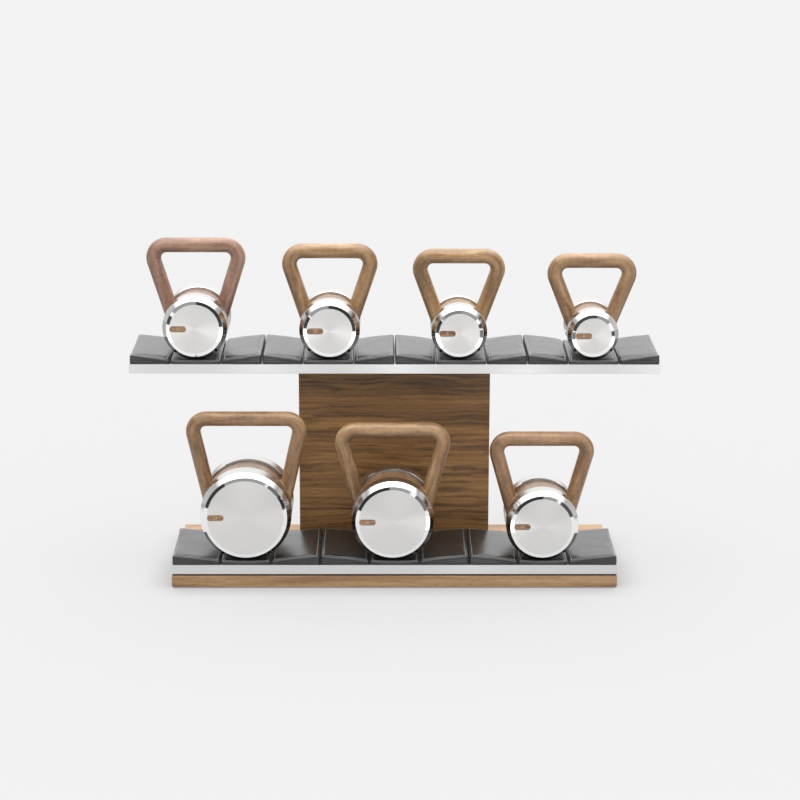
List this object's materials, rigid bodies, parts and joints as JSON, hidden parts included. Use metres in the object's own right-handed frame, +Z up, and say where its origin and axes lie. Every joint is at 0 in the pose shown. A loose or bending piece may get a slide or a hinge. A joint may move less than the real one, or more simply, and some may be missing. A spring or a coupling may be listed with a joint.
{
  "type": "kettlebell rack",
  "caption": "Two-tier kettlebell rack: leather-padded shelf plates on a walnut plank and column, with round wood-handled steel kettlebells on its seats.",
  "frame": {"origin": "on the floor, in the middle of the base plank", "axes": "+Z up, +X along the shelves to the right as seen from the front, +Y to the back"},
  "size_m": [1.1, 0.357, 0.7148],
  "materials": {
    "walnut": "oiled walnut",
    "walnut_dark": "dark oiled walnut veneer, grain across",
    "aluminium": "satin anodised",
    "stainless": "turned face, polished rim",
    "steel": "black powder coat",
    "leather": "smooth charcoal leather",
    "rubber": "matt",
    "black": "matt"
  },
  "bodies": {
    "rack": {"base_plank": "walnut", "column_front_panel": "walnut_dark", "column_rear_panel": "walnut_dark", "column_left_panel": "walnut_dark", "column_right_panel": "walnut_dark", "lower_shelf_plate": "aluminium", "upper_shelf_plate": "aluminium", "mast_frame": "steel", "lower_left_wing_1": "leather", "lower_seat_1": "leather", "lower_right_wing_1": "leather", "lower_left_wing_2": "leather", "lower_seat_2": "leather", "lower_right_wing_2": "leather", "lower_left_wing_3": "leather", "lower_seat_3": "leather", "lower_right_wing_3": "leather", "upper_left_wing_1": "leather", "upper_seat_1": "leather", "upper_right_wing_1": "leather", "upper_left_wing_2": "leather", "upper_seat_2": "leather", "upper_right_wing_2": "leather", "upper_left_wing_3": "leather", "upper_seat_3": "leather", "upper_right_wing_3": "leather", "upper_left_wing_4": "leather", "upper_seat_4": "leather", "upper_right_wing_4": "leather", "front_foot_strip": "rubber", "rear_foot_strip": "rubber", "base_spacer": "black"},
    "kettlebell_1": {"kettlebell_1_handle": "walnut", "kettlebell_1_front_weight": "stainless", "kettlebell_1_rear_weight": "stainless", "kettlebell_1_stud": "steel"},
    "kettlebell_2": {"kettlebell_2_handle": "walnut", "kettlebell_2_front_weight": "stainless", "kettlebell_2_rear_weight": "stainless", "kettlebell_2_stud": "steel"},
    "kettlebell_3": {"kettlebell_3_handle": "walnut", "kettlebell_3_front_weight": "stainless", "kettlebell_3_rear_weight": "stainless", "kettlebell_3_stud": "steel"},
    "kettlebell_4": {"kettlebell_4_handle": "walnut", "kettlebell_4_front_weight": "stainless", "kettlebell_4_rear_weight": "stainless", "kettlebell_4_stud": "steel"},
    "kettlebell_5": {"kettlebell_5_handle": "walnut", "kettlebell_5_front_weight": "stainless", "kettlebell_5_rear_weight": "stainless", "kettlebell_5_stud": "steel"},
    "kettlebell_6": {"kettlebell_6_handle": "walnut", "kettlebell_6_front_weight": "stainless", "kettlebell_6_rear_weight": "stainless", "kettlebell_6_stud": "steel"},
    "kettlebell_7": {"kettlebell_7_handle": "walnut", "kettlebell_7_front_weight": "stainless", "kettlebell_7_rear_weight": "stainless", "kettlebell_7_stud": "steel"}
  },
  "joints": [
    {"name": "kettlebell_1_lift", "type": "slide", "parent": "rack", "child": "kettlebell_1", "axis": [0, 0, 1], "range_m": [0, 0.3]},
    {"name": "kettlebell_2_lift", "type": "slide", "parent": "rack", "child": "kettlebell_2", "axis": [0, 0, 1], "range_m": [0, 0.3]},
    {"name": "kettlebell_3_lift", "type": "slide", "parent": "rack", "child": "kettlebell_3", "axis": [0, 0, 1], "range_m": [0, 0.3]},
    {"name": "kettlebell_4_lift", "type": "slide", "parent": "rack", "child": "kettlebell_4", "axis": [0, 0, 1], "range_m": [0, 0.3]},
    {"name": "kettlebell_5_lift", "type": "slide", "parent": "rack", "child": "kettlebell_5", "axis": [0, -0.866, 0.5], "range_m": [0, 0.3]},
    {"name": "kettlebell_6_lift", "type": "slide", "parent": "rack", "child": "kettlebell_6", "axis": [0, -0.866, 0.5], "range_m": [0, 0.3]},
    {"name": "kettlebell_7_lift", "type": "slide", "parent": "rack", "child": "kettlebell_7", "axis": [0, -0.866, 0.5], "range_m": [0, 0.3]}
  ]
}
